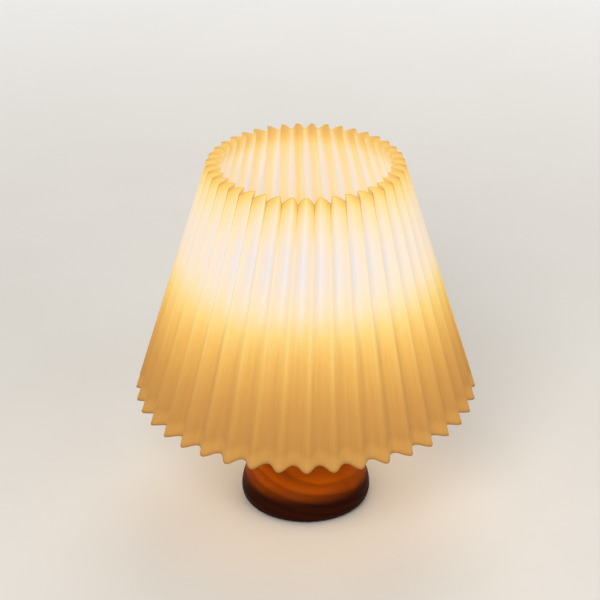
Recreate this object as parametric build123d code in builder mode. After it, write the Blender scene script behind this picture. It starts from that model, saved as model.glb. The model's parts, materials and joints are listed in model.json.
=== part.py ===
from build123d import *

import os
from math import cos, hypot, radians, sin

# Pleated paper table lamp, in millimetres. The origin is the centre of the foot on the table, +Z is up,
# the front is -Y and the cord comes in at the back, on +Y.

# ---- driving dimensions ----

slip = 0.05  # gap on the radius between pieces that slide over each other
body_gap = 0.3  # gap between pieces that move on each other

# Shade: one strip of paper folded into pleats and closed into a cone
pleat_count = 40
shade_bottom_z = 110.0
shade_height = 216.7
bottom_tip_radius = 150.0
bottom_valley_radius = 139.7
top_tip_radius = 84.6
top_valley_radius = 72.7
valley_lift = 2.4  # the inner folds end this much above the tips at the lower rim
front_tip_angle = 0.7  # from the front to the nearest tip of the lower rim, in degrees
fold_lean = 4.6  # the folds lean round the shade by this much on their way up, in degrees
paper_thickness = 0.5

# Base: a turned puck of wood on a felt pad
base_radius = 57.4
base_widest_z = 11.4
base_top_z = 44.4
base_top_radius = 26.3
foot_radius = 52.5
pad_thickness = 2.0
pad_radius = 50.0
recess_radius = 24.0
recess_top_z = 18.0

# Cord inlet at the back of the base
cord_z = 13.0
cord_bore_radius = 3.5
bush_radius = 4.95
bush_length = 12.0
bush_flange_radius = 7.0
bush_flange_thickness = 2.0
bush_chamfer = 1.2
bush_seat_y = 55.5

# Stem: a hollow threaded tube in a brass sleeve, pulled down by a nut under the base
tube_radius = 5.0
tube_bore_radius = 4.0
tube_bottom_z = 8.5
tube_chamfer = 0.4
stem_radius = 7.0
stem_wall = 1.0
collar_radius = 13.0
collar_height = 5.0
collar_round = 3.0
stem_cap_height = 4.0
stem_cap_chamfer = 1.2
seat_depth = 1.5
nut_flats = 14.0
nut_height = 5.0
flat_washer_thickness = 1.5
flat_washer_radius = 10.0
lock_washer_thickness = 1.0
lock_washer_radius = 8.0
lock_washer_teeth = 12
washer_notch_depth = 0.8
washer_notch_width = 1.4

# Lampholder for a 27 mm screw cap
holder_bottom_z = 123.0
holder_boss_radius = 9.5
holder_boss_height = 8.0
holder_wall = 1.8
holder_skirt_radius = 20.5
holder_thread_radius = 19.4
holder_thread_chamfer = 0.8
holder_cap_height = 22.5
holder_skirt_height = 12.5
holder_sleeve_height = 35.0
grub_radius = 1.5
grub_sink = 0.4  # the screw's end lies this far under the boss's side
grub_slot_width = 0.5
grub_slot_depth = 0.8

# Ceramic insert with two terminals on its underside and a sprung contact on top
block_radius = 16.5
block_height = 8.0
block_sink = 1.5  # the block's seat in the lower cover
terminal_spacing = 14.0
terminal_bar = (21.0, 9.0)
terminal_bar_height = 6.0
terminal_radius = 1.5
terminal_depth = 4.5
terminal_head_radius = 2.6
terminal_head_height = 1.8
terminal_slot_width = 0.7
terminal_slot_depth = 0.8
wire_notch = (7.0, 6.0)
contact_well = (20.0, 8.0)
contact_well_depth = 2.0
contact_thickness = 0.5
contact_width = 6.0
contact_height = 3.0  # from the block's top to the bulb's tip
contact_bend = 1.2
shell_outer_radius = 15.0
shell_bore_radius = 13.55
shell_below_rim = 3.0

# Shade carrier: a steel hub plate between two lock rings, three wire arms and a wire ring
lock_ring_radius = 23.5
lock_ring_flange_radius = 28.0
lock_ring_height = 7.0
lock_ring_flange = 1.6
grip_count = 20
grip_width = 2.6
grip_depth = 0.8
hub_radius = 35.0
hub_thickness = 1.5
wire_radius = 1.5
arm_count = 3
arm_start_radius = 29.5
arm_sink = 0.3  # the arms are flattened by this much where they are welded to the plate

# Bulb with a 27 mm screw cap, 60 mm wide and 110 mm long
bulb_radius = 30.0
bulb_centre_height = 80.0  # from the contact's tip to the centre of the round dome
tip_flat_radius = 2.0
tip_radius = 4.8
tip_height = 2.0
insulator_radius = 6.5
insulator_height = 3.0
cap_lip_radius = 11.0
cap_lip_height = 2.5
cap_wall = 0.8
bulb_cap_radius = 13.1
bulb_cap_height = 22.0
plug_depth = 12.0  # how deep the housing goes into the cap
bulb_neck_radius = 14.2
bulb_neck_height = 3.0
bulb_split_height = 62.0  # the housing ends and the opal dome starts
dome_edge_step = 1.6
dome_wall = 1.2
led_board_radius = 21.0
led_board_thickness = 1.6
led_count = 10
led_side = 3.0
led_height = 0.8
led_inset = 5.0

os.makedirs("parts", exist_ok=True)


def write(part, name):
    """Label a finished piece and write it to its own file."""
    part.label = name
    export_step(part, f"parts/{name}.step")


# ---- shade ----


def rim_corners(tip_radius, valley_radius, turn, inset):
    """Corners of the folded strip at one rim, tip and valley in turn, moved inwards by inset.

    The strip keeps its thickness in the corners: on a fold's own ray, a face that lies at an angle to it
    moves by more than the inset.
    """
    half_pitch = radians(180 / pleat_count)
    panel_width = hypot(tip_radius - valley_radius * cos(half_pitch), valley_radius * sin(half_pitch))
    tip_step = inset * panel_width / (valley_radius * sin(half_pitch))
    valley_step = inset * panel_width / (tip_radius * sin(half_pitch))
    first_tip = radians(front_tip_angle + turn - 90)
    corners = []
    for pleat in range(pleat_count):
        tip_angle = first_tip + 2 * half_pitch * pleat
        valley_angle = tip_angle + half_pitch
        corners.append(Vector(cos(tip_angle), sin(tip_angle)) * (tip_radius - tip_step))
        corners.append(Vector(cos(valley_angle), sin(valley_angle)) * (valley_radius - valley_step))
    return corners


def fold_corners(share, inset):
    """The corners at a share of the shade's height, each on its own straight fold."""
    lower = rim_corners(bottom_tip_radius, bottom_valley_radius, 0, inset)
    upper = rim_corners(top_tip_radius, top_valley_radius, fold_lean, inset)
    return [low + (high - low) * share for low, high in zip(lower, upper)]


with BuildPart() as shade_paper:
    for share in (0, 0.5, 1):
        with BuildSketch(Plane.XY.offset(shade_bottom_z + share * shade_height)):
            with BuildLine():
                Polyline(*fold_corners(share, 0), close=True)
            make_face()
            with BuildLine():
                Polyline(*fold_corners(share, paper_thickness), close=True)
            make_face(mode=Mode.SUBTRACT)
    loft(ruled=True)
    # The lower edge rises from each tip to the valleys beside it, so a ring with a sloping top is cut off
    edge_slope = valley_lift / (bottom_tip_radius - bottom_valley_radius)
    trim_inner = bottom_valley_radius - 4
    trim_outer = bottom_tip_radius + 2
    trim_bottom_z = shade_bottom_z - 2
    with BuildSketch(Plane.XZ):
        with BuildLine():
            Polyline(
                (trim_inner, trim_bottom_z),
                (trim_outer, trim_bottom_z),
                (trim_outer, shade_bottom_z + (bottom_tip_radius - trim_outer) * edge_slope),
                (trim_inner, shade_bottom_z + (bottom_tip_radius - trim_inner) * edge_slope),
                close=True,
            )
        make_face()
    revolve(axis=Axis.Z, mode=Mode.SUBTRACT)
write(shade_paper.part, "shade_paper")

# ---- base ----

cord_plane = Plane(origin=(0, 0, cord_z), x_dir=(1, 0, 0), z_dir=(0, 1, 0))

with BuildPart() as base_body:
    with BuildSketch(Plane.XZ):
        with BuildLine():
            Line((recess_radius, pad_thickness), (foot_radius, pad_thickness))
            EllipticalCenterArc(
                (foot_radius, base_widest_z),
                base_radius - foot_radius,
                base_widest_z - pad_thickness,
                270,
                arc_size=90,
            )
            EllipticalCenterArc(
                (base_top_radius, base_widest_z),
                base_radius - base_top_radius,
                base_top_z - base_widest_z,
                0,
                arc_size=90,
            )
            Polyline(
                (base_top_radius, base_top_z),
                (tube_radius + slip, base_top_z),
                (tube_radius + slip, recess_top_z),
                (recess_radius, recess_top_z),
                (recess_radius, pad_thickness),
            )
        make_face()
    revolve(axis=Axis.Z)
    # The cord's way from the recess to the back, with a seat for the bush's flange
    with BuildSketch(cord_plane.offset(recess_radius - 2)):
        Circle(bush_radius + slip)
    extrude(amount=base_radius, mode=Mode.SUBTRACT)
    with BuildSketch(cord_plane.offset(bush_seat_y)):
        Circle(bush_flange_radius + slip)
    extrude(amount=bush_flange_thickness + 1, mode=Mode.SUBTRACT)
write(base_body.part, "base_body")

with BuildPart() as foot_pad:
    with BuildSketch():
        Circle(pad_radius)
    extrude(amount=pad_thickness)
write(foot_pad.part, "foot_pad")

with BuildPart() as cord_bush:
    with BuildSketch(cord_plane.offset(bush_seat_y - bush_length)):
        Circle(bush_radius)
    extrude(amount=bush_length)
    with BuildSketch(cord_plane.offset(bush_seat_y)):
        Circle(bush_flange_radius)
    extrude(amount=bush_flange_thickness)
    chamfer(cord_bush.edges().filter_by(GeomType.CIRCLE).sort_by(Axis.Y)[-1], bush_chamfer)
    with BuildSketch(cord_plane.offset(bush_seat_y - bush_length)):
        Circle(cord_bore_radius)
    extrude(amount=bush_length + bush_flange_thickness, mode=Mode.SUBTRACT)
write(cord_bush.part, "cord_bush")

# ---- stem ----

tube_top_z = holder_bottom_z + holder_boss_height
with BuildPart() as threaded_tube:
    with BuildSketch(Plane.XY.offset(tube_bottom_z)):
        Circle(tube_radius)
    extrude(amount=tube_top_z - tube_bottom_z)
    chamfer(threaded_tube.edges().group_by(Axis.Z)[-1], tube_chamfer)
    with BuildSketch(Plane.XY.offset(tube_bottom_z)):
        Circle(tube_bore_radius)
    extrude(amount=tube_top_z - tube_bottom_z, mode=Mode.SUBTRACT)
write(threaded_tube.part, "threaded_tube")

flat_washer_z = recess_top_z - flat_washer_thickness
with BuildPart() as flat_washer:
    with BuildSketch(Plane.XY.offset(flat_washer_z)):
        Circle(flat_washer_radius)
        Circle(tube_radius + slip, mode=Mode.SUBTRACT)
    extrude(amount=flat_washer_thickness)
write(flat_washer.part, "flat_washer")

lock_washer_z = flat_washer_z - lock_washer_thickness
with BuildPart() as lock_washer:
    with BuildSketch(Plane.XY.offset(lock_washer_z)):
        Circle(lock_washer_radius)
        with PolarLocations(lock_washer_radius, lock_washer_teeth):
            Rectangle(2 * washer_notch_depth, washer_notch_width, mode=Mode.SUBTRACT)
        Circle(tube_radius + slip, mode=Mode.SUBTRACT)
    extrude(amount=lock_washer_thickness)
write(lock_washer.part, "lock_washer")

with BuildPart() as base_nut:
    with BuildSketch(Plane.XY.offset(lock_washer_z - nut_height)):
        RegularPolygon(nut_flats / 2, 6, major_radius=False)
        Circle(tube_radius + slip, mode=Mode.SUBTRACT)
    extrude(amount=nut_height)
write(base_nut.part, "base_nut")

# A collar on the wood and a cap under the lampholder centre the sleeve
with BuildPart() as stem_collar:
    with BuildSketch(Plane.XY.offset(base_top_z)):
        Circle(collar_radius)
    extrude(amount=collar_height)
    fillet(stem_collar.edges().group_by(Axis.Z)[-1], collar_round)
    with BuildSketch(Plane.XY.offset(base_top_z + collar_height)):
        Circle(stem_radius + slip)
    extrude(amount=-seat_depth, mode=Mode.SUBTRACT)
    with BuildSketch(Plane.XY.offset(base_top_z)):
        Circle(tube_radius + slip)
    extrude(amount=collar_height, mode=Mode.SUBTRACT)
write(stem_collar.part, "stem_collar")

stem_cap_z = holder_bottom_z - stem_cap_height
with BuildPart() as stem_cap:
    with BuildSketch(Plane.XY.offset(stem_cap_z)):
        Circle(holder_boss_radius)
    extrude(amount=stem_cap_height)
    chamfer(stem_cap.edges().group_by(Axis.Z)[0], stem_cap_chamfer)
    with BuildSketch(Plane.XY.offset(stem_cap_z)):
        Circle(stem_radius + slip)
    extrude(amount=seat_depth, mode=Mode.SUBTRACT)
    with BuildSketch(Plane.XY.offset(stem_cap_z)):
        Circle(tube_radius + slip)
    extrude(amount=stem_cap_height, mode=Mode.SUBTRACT)
write(stem_cap.part, "stem_cap")

stem_bottom_z = base_top_z + collar_height - seat_depth
with BuildPart() as stem_tube:
    with BuildSketch(Plane.XY.offset(stem_bottom_z)):
        Circle(stem_radius)
        Circle(stem_radius - stem_wall, mode=Mode.SUBTRACT)
    extrude(amount=stem_cap_z + seat_depth - stem_bottom_z)
write(stem_tube.part, "stem_tube")

# ---- lampholder ----

# The lower cover is a round bell on a boss, and the boss takes the tube and a small locking screw
cap_top_z = holder_bottom_z + holder_cap_height
bell_bottom_z = tube_top_z - 1
bell_outer = holder_skirt_radius - holder_boss_radius
bell_inner = bell_outer - holder_wall
bell_centre = (holder_boss_radius, bell_bottom_z + bell_outer)
grub_z = holder_bottom_z + holder_boss_height / 2
grub_plane = Plane(origin=(0, 0, grub_z), x_dir=(0, 0, 1), z_dir=(1, 0, 0))
with BuildPart() as holder_cap:
    with BuildSketch(Plane.XZ):
        with BuildLine():
            Polyline(
                (tube_radius + slip, bell_bottom_z + holder_wall),
                (tube_radius + slip, holder_bottom_z),
                (holder_boss_radius, holder_bottom_z),
                (holder_boss_radius, bell_bottom_z),
            )
            CenterArc(bell_centre, bell_outer, 270, 90)
            Polyline(
                (holder_skirt_radius, bell_centre[1]),
                (holder_skirt_radius, cap_top_z),
                (holder_skirt_radius - holder_wall, cap_top_z),
                (holder_skirt_radius - holder_wall, bell_centre[1]),
            )
            CenterArc(bell_centre, bell_inner, 0, -90)
            Line(
                (holder_boss_radius, bell_bottom_z + holder_wall),
                (tube_radius + slip, bell_bottom_z + holder_wall),
            )
        make_face()
    revolve(axis=Axis.Z)
    with BuildSketch(grub_plane.offset(tube_bore_radius)):
        Circle(grub_radius + slip)
    extrude(amount=holder_boss_radius, mode=Mode.SUBTRACT)
write(holder_cap.part, "holder_cap")

grub_start_x = tube_radius + 2 * slip
grub_end_x = holder_boss_radius - grub_sink
with BuildPart() as grub_screw:
    with BuildSketch(grub_plane.offset(grub_start_x)):
        Circle(grub_radius)
    extrude(amount=grub_end_x - grub_start_x)
    with BuildSketch(grub_plane.offset(grub_end_x)):
        Rectangle(3 * grub_radius, grub_slot_width)
    extrude(amount=-grub_slot_depth, mode=Mode.SUBTRACT)
write(grub_screw.part, "grub_screw")

block_z = cap_top_z - block_sink
block_top_z = block_z + block_height
bar_z = block_z - terminal_bar_height
with BuildPart() as contact_block:
    with BuildSketch(Plane.XY.offset(block_z)):
        Circle(block_radius)
    extrude(amount=block_height)
    with BuildSketch(Plane.XY.offset(block_z)):
        RectangleRounded(*terminal_bar, 2)
    extrude(amount=-terminal_bar_height)
    with BuildSketch(Plane.XY.offset(bar_z)):
        with GridLocations(terminal_spacing, 0, 2, 1):
            Circle(terminal_radius + slip)
    extrude(amount=terminal_depth + body_gap, mode=Mode.SUBTRACT)
    # Two notches clear the wires, and a shallow well holds the centre contact
    with BuildSketch(Plane.XY.offset(block_z)):
        with GridLocations(0, 2 * block_radius, 1, 2):
            Rectangle(*wire_notch)
    extrude(amount=block_height, mode=Mode.SUBTRACT)
    with BuildSketch(Plane.XY.offset(block_top_z)):
        Rectangle(*contact_well)
    extrude(amount=-contact_well_depth, mode=Mode.SUBTRACT)
write(contact_block.part, "contact_block")

with BuildPart() as terminal_screws:
    with BuildSketch(Plane.XY.offset(bar_z)):
        with GridLocations(terminal_spacing, 0, 2, 1):
            Circle(terminal_radius)
    extrude(amount=terminal_depth)
    with BuildSketch(Plane.XY.offset(bar_z - terminal_head_height)):
        with GridLocations(terminal_spacing, 0, 2, 1):
            Circle(terminal_head_radius)
    extrude(amount=terminal_head_height)
    with BuildSketch(Plane.XY.offset(bar_z - terminal_head_height)):
        with GridLocations(terminal_spacing, 0, 2, 1):
            Rectangle(3 * terminal_head_radius, terminal_slot_width)
    extrude(amount=terminal_slot_depth, mode=Mode.SUBTRACT)
write(terminal_screws.part, "terminal_screws")

# A sprung tongue starts flat in the well, rises to the bulb's tip and bends down again
bulb_tip_z = block_top_z + contact_height
tongue_floor_z = block_top_z - contact_well_depth + contact_thickness / 2
tongue_peak_z = bulb_tip_z - body_gap - contact_thickness / 2
with BuildPart() as centre_contact:
    with BuildSketch(Plane.XZ):
        with BuildLine():
            tongue = FilletPolyline(
                (-8.5, tongue_floor_z),
                (-3.5, tongue_floor_z),
                (2.0, tongue_peak_z),
                (5.5, tongue_peak_z - contact_bend),
                radius=contact_bend,
            )
            offset(tongue, contact_thickness / 2, side=Side.BOTH)
        make_face()
    extrude(amount=contact_width / 2, both=True)
write(centre_contact.part, "centre_contact")

sleeve_z = cap_top_z
thread_z = sleeve_z + holder_skirt_height
sleeve_top_z = sleeve_z + holder_sleeve_height
with BuildPart() as holder_sleeve:
    with BuildSketch(Plane.XZ):
        with BuildLine():
            Polyline(
                (block_radius + slip, sleeve_z),
                (holder_skirt_radius, sleeve_z),
                (holder_skirt_radius, thread_z - (holder_skirt_radius - holder_thread_radius)),
                (holder_thread_radius, thread_z),
                (holder_thread_radius, sleeve_top_z - holder_thread_chamfer),
                (holder_thread_radius - holder_thread_chamfer, sleeve_top_z),
                (shell_outer_radius + slip, sleeve_top_z),
                (shell_outer_radius + slip, block_top_z),
                (block_radius + slip, block_top_z),
                close=True,
            )
        make_face()
    revolve(axis=Axis.Z)
write(holder_sleeve.part, "holder_sleeve")

with BuildPart() as screw_shell:
    with BuildSketch(Plane.XY.offset(block_top_z)):
        Circle(shell_outer_radius)
        Circle(shell_bore_radius, mode=Mode.SUBTRACT)
    extrude(amount=sleeve_top_z - shell_below_rim - block_top_z)
write(screw_shell.part, "screw_shell")

# ---- shade carrier ----

lower_ring_z = thread_z + 1
hub_z = lower_ring_z + lock_ring_height + body_gap
hub_top_z = hub_z + hub_thickness
upper_ring_z = hub_top_z + body_gap

# Each ring has its flange on the side that meets the hub plate, as (name, flange face, far face)
lock_rings = (
    ("lower_lock_ring", lower_ring_z + lock_ring_height, lower_ring_z),
    ("upper_lock_ring", upper_ring_z, upper_ring_z + lock_ring_height),
)
for name, flange_z, far_z in lock_rings:
    outward = 1 if far_z > flange_z else -1
    with BuildPart() as lock_ring:
        with BuildSketch(Plane.XY.offset(flange_z)):
            Circle(lock_ring_flange_radius)
        extrude(amount=outward * lock_ring_flange)
        with BuildSketch(Plane.XY.offset(flange_z)):
            Circle(lock_ring_radius)
            # Finger grips along the barrel
            with PolarLocations(lock_ring_radius, grip_count):
                Rectangle(2 * grip_depth, grip_width, mode=Mode.SUBTRACT)
        extrude(amount=outward * lock_ring_height)
        with BuildSketch(Plane.XY.offset(flange_z)):
            Circle(holder_thread_radius + slip)
        extrude(amount=outward * lock_ring_height, mode=Mode.SUBTRACT)
    write(lock_ring.part, name)

with BuildPart() as carrier_hub:
    with BuildSketch(Plane.XY.offset(hub_z)):
        Circle(hub_radius)
        Circle(holder_thread_radius + body_gap, mode=Mode.SUBTRACT)
    extrude(amount=hub_thickness)
write(carrier_hub.part, "carrier_hub")

# The ring lies just inside the inner folds, where the cone of the shade comes to rest on it
wire_z = hub_top_z + wire_radius - arm_sink
fold_share = (wire_z - shade_bottom_z) / shade_height
inner_fold_radius = fold_corners(fold_share, paper_thickness)[1].length
fold_slope = (bottom_valley_radius - top_valley_radius) / shade_height
ring_radius = inner_fold_radius - (wire_radius + body_gap) * hypot(1, fold_slope)
with BuildPart() as carrier_frame:
    with BuildSketch(Plane.XZ):
        with Locations((ring_radius, wire_z)):
            Circle(wire_radius)
    revolve(axis=Axis.Z)
    for arm in range(arm_count):
        arm_angle = 90 + 360 / arm_count * arm
        arm_direction = Vector(cos(radians(arm_angle)), sin(radians(arm_angle)))
        arm_start = arm_direction * arm_start_radius + Vector(0, 0, wire_z)
        with BuildSketch(Plane(origin=arm_start, z_dir=arm_direction)):
            Circle(wire_radius)
        extrude(amount=ring_radius - arm_start_radius)
    # The welded ends are flat on the plate
    with BuildSketch(Plane.XY.offset(hub_top_z)):
        Circle(hub_radius + body_gap)
    extrude(amount=-wire_radius, mode=Mode.SUBTRACT)
write(carrier_frame.part, "carrier_frame")

# ---- bulb ----

insulator_z = bulb_tip_z + tip_height
cap_z = insulator_z + insulator_height
cap_end_z = cap_z + bulb_cap_height
dome_z = bulb_tip_z + bulb_split_height
dome_centre_z = bulb_tip_z + bulb_centre_height
dome_edge_radius = bulb_radius - dome_edge_step
with BuildPart() as bulb_contact:
    with BuildSketch(Plane.XZ):
        with BuildLine():
            Polyline(
                (tip_radius, insulator_z),
                (0, insulator_z),
                (0, bulb_tip_z),
                (tip_flat_radius, bulb_tip_z),
            )
            EllipticalCenterArc(
                (tip_flat_radius, insulator_z), tip_radius - tip_flat_radius, tip_height, 270, arc_size=90
            )
        make_face()
    revolve(axis=Axis.Z)
write(bulb_contact.part, "bulb_contact")

with BuildPart() as bulb_insulator:
    with BuildSketch(Plane.XZ):
        with BuildLine():
            Polyline(
                (0, insulator_z),
                (insulator_radius, insulator_z),
                (cap_lip_radius, cap_z),
                (0, cap_z),
                close=True,
            )
        make_face()
    revolve(axis=Axis.Z)
write(bulb_insulator.part, "bulb_insulator")

with BuildPart() as bulb_cap:
    with BuildSketch(Plane.XZ):
        with BuildLine():
            Polyline(
                (0, cap_z),
                (cap_lip_radius, cap_z),
                (bulb_cap_radius, cap_z + cap_lip_height),
                (bulb_cap_radius, cap_end_z),
                (bulb_cap_radius - cap_wall, cap_end_z),
                (bulb_cap_radius - cap_wall, cap_z + cap_lip_height),
                (cap_lip_radius - cap_wall, cap_z + cap_wall),
                (0, cap_z + cap_wall),
                close=True,
            )
        make_face()
    revolve(axis=Axis.Z)
write(bulb_cap.part, "bulb_cap")

# The housing plugs into the cap and flares up to the dome
plug_radius = bulb_cap_radius - cap_wall - slip
flare_z = cap_end_z + bulb_neck_height
with BuildPart() as bulb_housing:
    with BuildSketch(Plane.XZ):
        with BuildLine():
            Polyline(
                (0, dome_z),
                (0, cap_end_z - plug_depth),
                (plug_radius, cap_end_z - plug_depth),
                (plug_radius, cap_end_z),
                (bulb_neck_radius, cap_end_z),
                (bulb_neck_radius, flare_z),
            )
            Spline(
                (bulb_neck_radius, flare_z),
                (dome_edge_radius - 4.6, dome_z - 15),
                (dome_edge_radius, dome_z),
                tangents=[(0, 1), (0.35, 1)],
            )
            Line((dome_edge_radius, dome_z), (0, dome_z))
        make_face()
    revolve(axis=Axis.Z)
write(bulb_housing.part, "bulb_housing")

inner_dome_radius = bulb_radius - dome_wall
inner_edge_radius = dome_edge_radius - dome_wall
with BuildPart() as bulb_dome:
    with BuildSketch(Plane.XZ):
        with BuildLine():
            Line((inner_edge_radius, dome_z), (dome_edge_radius, dome_z))
            TangentArc((bulb_radius, dome_centre_z), (dome_edge_radius, dome_z), tangent=(0, -1))
            CenterArc((0, dome_centre_z), bulb_radius, 0, 90)
            Line((0, dome_centre_z + bulb_radius), (0, dome_centre_z + inner_dome_radius))
            CenterArc((0, dome_centre_z), inner_dome_radius, 0, 90)
            TangentArc((inner_dome_radius, dome_centre_z), (inner_edge_radius, dome_z), tangent=(0, -1))
        make_face()
    revolve(axis=Axis.Z)
write(bulb_dome.part, "bulb_dome")

with BuildPart() as led_board:
    with BuildSketch(Plane.XY.offset(dome_z)):
        Circle(led_board_radius)
    extrude(amount=led_board_thickness)
write(led_board.part, "led_board")

with BuildPart() as led_chips:
    with BuildSketch(Plane.XY.offset(dome_z + led_board_thickness)):
        with PolarLocations(led_board_radius - led_inset, led_count):
            Rectangle(led_side, led_side)
    extrude(amount=led_height)
write(led_chips.part, "led_chips")
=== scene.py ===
import json
import logging
import math
from dataclasses import dataclass, fields
from enum import Enum
from typing import Sequence, Union

import bpy
from mathutils import Matrix, Vector


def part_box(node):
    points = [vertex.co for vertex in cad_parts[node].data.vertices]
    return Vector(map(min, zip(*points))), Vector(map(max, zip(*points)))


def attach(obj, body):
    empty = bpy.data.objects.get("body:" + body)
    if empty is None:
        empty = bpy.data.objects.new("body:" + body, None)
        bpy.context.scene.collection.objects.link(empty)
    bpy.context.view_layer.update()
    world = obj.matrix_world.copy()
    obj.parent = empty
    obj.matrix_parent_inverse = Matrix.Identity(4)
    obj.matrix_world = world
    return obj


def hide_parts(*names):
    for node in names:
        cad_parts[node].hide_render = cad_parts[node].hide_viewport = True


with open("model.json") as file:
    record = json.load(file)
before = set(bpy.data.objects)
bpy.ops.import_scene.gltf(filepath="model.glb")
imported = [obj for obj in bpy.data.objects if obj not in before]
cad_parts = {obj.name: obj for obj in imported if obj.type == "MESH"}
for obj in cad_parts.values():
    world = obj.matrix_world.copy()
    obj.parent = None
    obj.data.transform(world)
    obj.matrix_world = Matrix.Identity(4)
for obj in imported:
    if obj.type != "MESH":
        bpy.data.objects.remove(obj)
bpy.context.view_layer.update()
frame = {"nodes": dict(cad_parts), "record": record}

log = logging.getLogger("lamp")

Colour = tuple[float, float, float]
Place = tuple[float, float, float]
Span = tuple[float, float]
Value = Union[float, int, Sequence[float], "Wire", bpy.types.Material]
Worn = tuple[str, bpy.types.Material]

MM = 0.001
DEGREE = math.radians(1.0)
WHITE: Colour = (1.0, 1.0, 1.0)
BLACK: Colour = (0.0, 0.0, 0.0)


def shown(red: int, green: int, blue: int) -> Colour:
    """Turns a colour as a screen shows it, 0 to 255, into scene-linear values, 0 to 1."""
    channels = (channel / 255 for channel in (red, green, blue))
    return tuple(c / 12.92 if c <= 0.04045 else ((c + 0.055) / 1.055) ** 2.4 for c in channels)


# ---------------------------------------------------------------- node trees


class Kind(Enum):
    """The type of a node tree, and the type of the node that holds such a tree as a group."""

    LOOK = ("ShaderNodeTree", "ShaderNodeGroup")
    SHAPE = ("GeometryNodeTree", "GeometryNodeGroup")


class Wire:
    """What a node gives: a number, a vector, a colour or a shape. Sums with it have plain signs.

    A tuple in a sum or a blend is a fixed vector or colour.
    """

    MIX_SOCKETS = {"RGBA": (6, 7, 2), "VECTOR": (4, 5, 1), "FLOAT": (2, 3, 0)}

    def __init__(self, tree: "Tree", socket: bpy.types.NodeSocket) -> None:
        """Keeps the socket and the tree that it is in."""
        self.tree = tree
        self.socket = socket

    def __add__(self, other: Value) -> "Wire":
        """Adds another value."""
        return self.tree.total("ADD", self, other)

    def __sub__(self, other: Value) -> "Wire":
        """Takes another value away."""
        return self.tree.total("SUBTRACT", self, other)

    def __rsub__(self, other: Value) -> "Wire":
        """Takes this value away from another one."""
        return self.tree.total("SUBTRACT", other, self)

    def __mul__(self, other: Value) -> "Wire":
        """Multiplies by another value, and each part of a vector by a number.

        Args:
            other: The other value.

        Returns:
            The product.
        """
        if is_vector(self) and not is_vector(other):
            return self.tree.get("ShaderNodeVectorMath", {0: self, "Scale": other}, operation="SCALE")
        return self.tree.total("MULTIPLY", self, other)

    def __truediv__(self, other: Value) -> "Wire":
        """Divides by another number."""
        return self.math("DIVIDE", other)

    def __rtruediv__(self, other: Value) -> "Wire":
        """Divides another number by this one."""
        return self.tree.math("DIVIDE", other, self)

    def __mod__(self, other: Value) -> "Wire":
        """Gives what is left over, never below 0."""
        return self.math("FLOORED_MODULO", other)

    def __pow__(self, other: Value) -> "Wire":
        """Raises to a power."""
        return self.math("POWER", other)

    def math(self, operation: str, *others: Value) -> "Wire":
        """Adds a sum of numbers that starts with this one."""
        return self.tree.math(operation, self, *others)

    def vector(self, operation: str, *others: Value) -> "Wire":
        """Adds a sum of vectors that starts with this one."""
        return self.tree.vector(operation, self, *others)

    def clamped(self) -> "Wire":
        """Keeps the result of the last sum between 0 and 1."""
        self.socket.node.use_clamp = True
        return self

    def mix(self, first: Value, second: Value) -> "Wire":
        """Blends two numbers, vectors or colours.

        Args:
            first: The value where this number is 0.
            second: The value where it is 1.

        Returns:
            The blend.
        """
        kinds = (carried(first), carried(second))
        kind = next((name for name in ("RGBA", "VECTOR") if name in kinds), "FLOAT")
        a, b, out = self.MIX_SOCKETS[kind]
        return self.tree.get("ShaderNodeMix", {0: self, a: first, b: second}, out, data_type=kind)

    def ease(self, low: Value, high: Value, start: Value = 0.0, end: Value = 1.0) -> "Wire":
        """Adds a smooth step.

        Args:
            low: Where the step starts.
            high: Where the step ends.
            start: The result up to low.
            end: The result from high on.

        Returns:
            The eased value.
        """
        values = {"Value": self, "From Min": low, "From Max": high, "To Min": start, "To Max": end}
        return self.tree.get("ShaderNodeMapRange", values, interpolation_type="SMOOTHSTEP")

    def fade(self, low: Value, high: Value) -> "Wire":
        """Adds a smooth step down from 1 to 0."""
        return self.ease(low, high, 1.0, 0.0)

    def parts(self) -> list["Wire"]:
        """Splits a vector into its three numbers."""
        node = self.tree.place("ShaderNodeSeparateXYZ", {0: self})
        return [Wire(self.tree, socket) for socket in node.outputs]

    def turned(self, angle: Value, axis: str = "Z_AXIS") -> "Wire":
        """Turns a place round an axis through the origin."""
        return self.tree.get("ShaderNodeVectorRotate", {"Vector": self, "Angle": angle}, rotation_type=axis)

    def noise(self, scale: Value, detail: float = 2.0, rough: float = 0.5, output: int | str = 0) -> "Wire":
        """Reads a cloud of noise at this place, as a number from 0 to 1 or as its Color."""
        values = {"Vector": self, "Scale": scale, "Detail": detail, "Roughness": rough}
        return self.tree.get("ShaderNodeTexNoise", values, output)

    def bump(self, depth: float) -> "Wire":
        """Gives the normal of a relief, with this number as its height and a depth in metres."""
        return self.tree.get("ShaderNodeBump", {"Height": self, "Distance": depth})


def carried(value: Value) -> str:
    """Gives the socket type of a value, which is RGBA for a tuple."""
    fixed = "RGBA" if isinstance(value, tuple) else "VALUE"
    return value.socket.type if isinstance(value, Wire) else fixed


def is_vector(value: Value) -> bool:
    """Says whether a value has several parts."""
    return carried(value) in ("RGBA", "VECTOR")


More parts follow.
